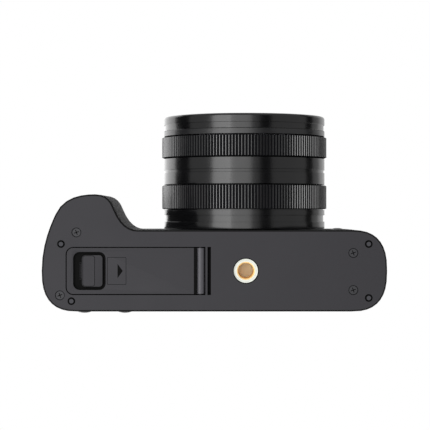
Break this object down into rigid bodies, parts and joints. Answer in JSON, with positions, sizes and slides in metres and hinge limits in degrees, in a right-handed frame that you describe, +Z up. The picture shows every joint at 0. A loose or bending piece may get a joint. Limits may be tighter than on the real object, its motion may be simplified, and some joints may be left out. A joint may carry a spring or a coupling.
{
  "type": "rangefinder camera",
  "caption": "Compact rangefinder-style camera with a moulded grip, a knurled two-ring lens, a battery door with a sliding latch and a tripod bush.",
  "frame": {"origin": "under the middle of the bounding box, on the surface the feet stand on", "axes": "+Z up through the top deck, the lens looks along -Y, the grip is at -X"},
  "size_m": [0.1192, 0.0698, 0.0666],
  "materials": {
    "plate_grey": "fine matt paint on cast magnesium",
    "cover_black": "fine matt black paint",
    "skin_black": "pressed synthetic leather grain",
    "barrel_black": "black anodised, turned",
    "rubber_black": "moulded",
    "plastic_black": "fine moulded grain",
    "steel": "plain",
    "brass": "turned, thinly nickelled flange",
    "board_green": "solder mask over glass laminate",
    "cell_grey": "printed wrap",
    "glass": "coated",
    "screen_black": "polished cover"
  },
  "bodies": {
    "root": {"bottom_plate": "plate_grey", "front_cover": "cover_black", "rear_cover": "cover_black", "top_cover": "plate_grey", "grip_skin": "skin_black", "front_skin": "skin_black", "base_frame": "steel", "tripod_bush": "brass", "bottom_screw_1": "steel", "bottom_screw_2": "steel", "bottom_screw_3": "steel", "bottom_screw_4": "steel", "foot_1": "rubber_black", "foot_2": "rubber_black", "foot_3": "rubber_black", "foot_4": "rubber_black", "hinge_pin": "steel", "battery_box": "plastic_black", "battery": "cell_grey", "memory_card": "plastic_black", "main_board": "board_green", "button_board": "board_green", "sensor_board": "board_green", "image_sensor": "screen_black", "lens_flange": "barrel_black", "lens_tube": "barrel_black", "middle_barrel": "barrel_black", "filter_ring": "barrel_black", "front_glass": "glass", "rear_glass": "glass", "screen_glass": "screen_black", "screen_panel": "cell_grey", "viewfinder_window": "glass", "eyepiece_frame": "rubber_black", "eyepiece_glass": "glass", "hot_shoe": "steel", "focus_lamp": "glass"},
    "door": {"battery_door": "plate_grey"},
    "latch": {"battery_latch": "cover_black"},
    "focus_ring": {"focus_ring": "barrel_black"},
    "focus_group": {"focus_cell": "barrel_black", "focus_glass": "glass"},
    "aperture_ring": {"aperture_ring": "barrel_black"},
    "blade_1": {"iris_blade_1": "steel"},
    "blade_2": {"iris_blade_2": "steel"},
    "blade_3": {"iris_blade_3": "steel"},
    "blade_4": {"iris_blade_4": "steel"},
    "blade_5": {"iris_blade_5": "steel"},
    "shutter": {"shutter_button": "steel"},
    "power_lever": {"power_lever": "plate_grey"},
    "speed_dial": {"speed_dial": "plate_grey"},
    "exposure_dial": {"exposure_dial": "plate_grey"},
    "control_wheel": {"control_wheel": "plastic_black"},
    "set_button": {"set_button": "plastic_black"},
    "lower_button_outer": {"lower_button_outer": "plastic_black"},
    "lower_button_inner": {"lower_button_inner": "plastic_black"},
    "upper_button_outer": {"upper_button_outer": "plastic_black"},
    "upper_button_inner": {"upper_button_inner": "plastic_black"},
    "side_cover": {"side_cover": "skin_black"}
  },
  "joints": [
    {"name": "door_hinge", "type": "hinge", "parent": "root", "child": "door", "pos_m": [-0.0048, 0.0198, 0.00175], "axis": [0, -1, 0], "range_deg": [0, 95]},
    {"name": "latch_slide", "type": "slide", "parent": "door", "child": "latch", "axis": [-1, 0, 0], "range_m": [0, 0.0026]},
    {"name": "focus_turn", "type": "hinge", "parent": "root", "child": "focus_ring", "pos_m": [0.01086, -0.02375, 0.033], "axis": [0, -1, 0], "range_deg": [0, 120]},
    {"name": "focus_slide", "type": "slide", "parent": "root", "child": "focus_group", "axis": [0, -1, 0], "range_m": [0, 0.0031]},
    {"name": "aperture_turn", "type": "hinge", "parent": "root", "child": "aperture_ring", "pos_m": [0.01086, -0.00575, 0.033], "axis": [0, -1, 0], "range_deg": [0, 70]},
    {"name": "blade_1_turn", "type": "hinge", "parent": "root", "child": "blade_1", "pos_m": [0.03096, 0.00275, 0.033], "axis": [0, -1, 0], "range_deg": [0, 28.5]},
    {"name": "blade_2_turn", "type": "hinge", "parent": "root", "child": "blade_2", "pos_m": [0.01707, 0.002, 0.05212], "axis": [0, -1, 0], "range_deg": [0, 28.5]},
    {"name": "blade_3_turn", "type": "hinge", "parent": "root", "child": "blade_3", "pos_m": [-0.0054, 0.00125, 0.04481], "axis": [0, -1, 0], "range_deg": [0, 28.5]},
    {"name": "blade_4_turn", "type": "hinge", "parent": "root", "child": "blade_4", "pos_m": [-0.0054, 0.0005, 0.02119], "axis": [0, -1, 0], "range_deg": [0, 28.5]},
    {"name": "blade_5_turn", "type": "hinge", "parent": "root", "child": "blade_5", "pos_m": [0.01707, -0.00025, 0.01388], "axis": [0, -1, 0], "range_deg": [0, 28.5]},
    {"name": "shutter_press", "type": "slide", "parent": "root", "child": "shutter", "axis": [0, 0, -1], "range_m": [0, 0.0008], "stiffness_N_per_m": 300},
    {"name": "power_lever_turn", "type": "hinge", "parent": "root", "child": "power_lever", "pos_m": [-0.042, 0.01435, 0.0647], "axis": [0, 0, 1], "range_deg": [0, 35]},
    {"name": "speed_dial_turn", "type": "hinge", "parent": "root", "child": "speed_dial", "pos_m": [-0.01614, 0.0198, 0.065], "axis": [0, 0, 1], "continuous": true},
    {"name": "exposure_dial_turn", "type": "hinge", "parent": "root", "child": "exposure_dial", "pos_m": [-0.0455, 0.02665, 0.065], "axis": [0, 0, 1], "range_deg": [-75, 75]},
    {"name": "control_wheel_turn", "type": "hinge", "parent": "root", "child": "control_wheel", "pos_m": [-0.0386, 0.03385, 0.029], "axis": [0, -1, 0], "continuous": true},
    {"name": "set_button_press", "type": "slide", "parent": "root", "child": "set_button", "axis": [0, -1, 0], "range_m": [0, 0.0004], "stiffness_N_per_m": 300},
    {"name": "lower_button_outer_press", "type": "slide", "parent": "root", "child": "lower_button_outer", "axis": [0, -1, 0], "range_m": [0, 0.0005], "stiffness_N_per_m": 300},
    {"name": "lower_button_inner_press", "type": "slide", "parent": "root", "child": "lower_button_inner", "axis": [0, -1, 0], "range_m": [0, 0.0005], "stiffness_N_per_m": 300},
    {"name": "upper_button_outer_press", "type": "slide", "parent": "root", "child": "upper_button_outer", "axis": [0, -1, 0], "range_m": [0, 0.0005], "stiffness_N_per_m": 300},
    {"name": "upper_button_inner_press", "type": "slide", "parent": "root", "child": "upper_button_inner", "axis": [0, -1, 0], "range_m": [0, 0.0005], "stiffness_N_per_m": 300},
    {"name": "side_cover_hinge", "type": "hinge", "parent": "root", "child": "side_cover", "pos_m": [0.0596, 0.01645, 0.024], "axis": [0, 0, -1], "range_deg": [0, 100]}
  ],
  "couplings": [
    {"joint": "focus_slide", "follows": "focus_turn", "m_per_rad": 0.0014324},
    {"joint": "blade_1_turn", "follows": "aperture_turn", "ratio": 0.4},
    {"joint": "blade_2_turn", "follows": "aperture_turn", "ratio": 0.4},
    {"joint": "blade_3_turn", "follows": "aperture_turn", "ratio": 0.4},
    {"joint": "blade_4_turn", "follows": "aperture_turn", "ratio": 0.4},
    {"joint": "blade_5_turn", "follows": "aperture_turn", "ratio": 0.4}
  ]
}
